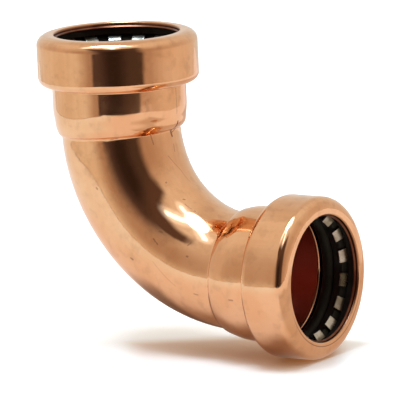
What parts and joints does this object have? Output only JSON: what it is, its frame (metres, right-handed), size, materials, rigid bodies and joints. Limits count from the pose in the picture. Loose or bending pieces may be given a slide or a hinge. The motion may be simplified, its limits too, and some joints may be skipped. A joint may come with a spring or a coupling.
{
  "type": "push-fit elbow",
  "caption": "Bent copper pipe fitting turning through a right angle, with a wide cap at each end that holds a release collar, toothed grab ring, separator and O-ring.",
  "frame": {"origin": "centre of the lower mouth, in the plane of its front face", "axes": "+X out of the lower mouth along that leg's axis, +Z along the upper leg's axis and out of the upper mouth, the bend lies in the XZ plane"},
  "size_m": [0.0571, 0.0292, 0.0571],
  "materials": {
    "copper": "polished copper",
    "black_plastic": "moulded, semi-gloss",
    "black_rubber": "smooth, lightly greased",
    "stainless": "stamped sheet, bright"
  },
  "bodies": {
    "root": {"elbow_body": "copper", "upper_release_collar": "black_plastic", "upper_grab_ring": "stainless", "upper_separator_ring": "black_plastic", "upper_o_ring": "black_rubber", "lower_release_collar": "black_plastic", "lower_grab_ring": "stainless", "lower_separator_ring": "black_plastic", "lower_o_ring": "black_rubber"}
  },
  "joints": []
}
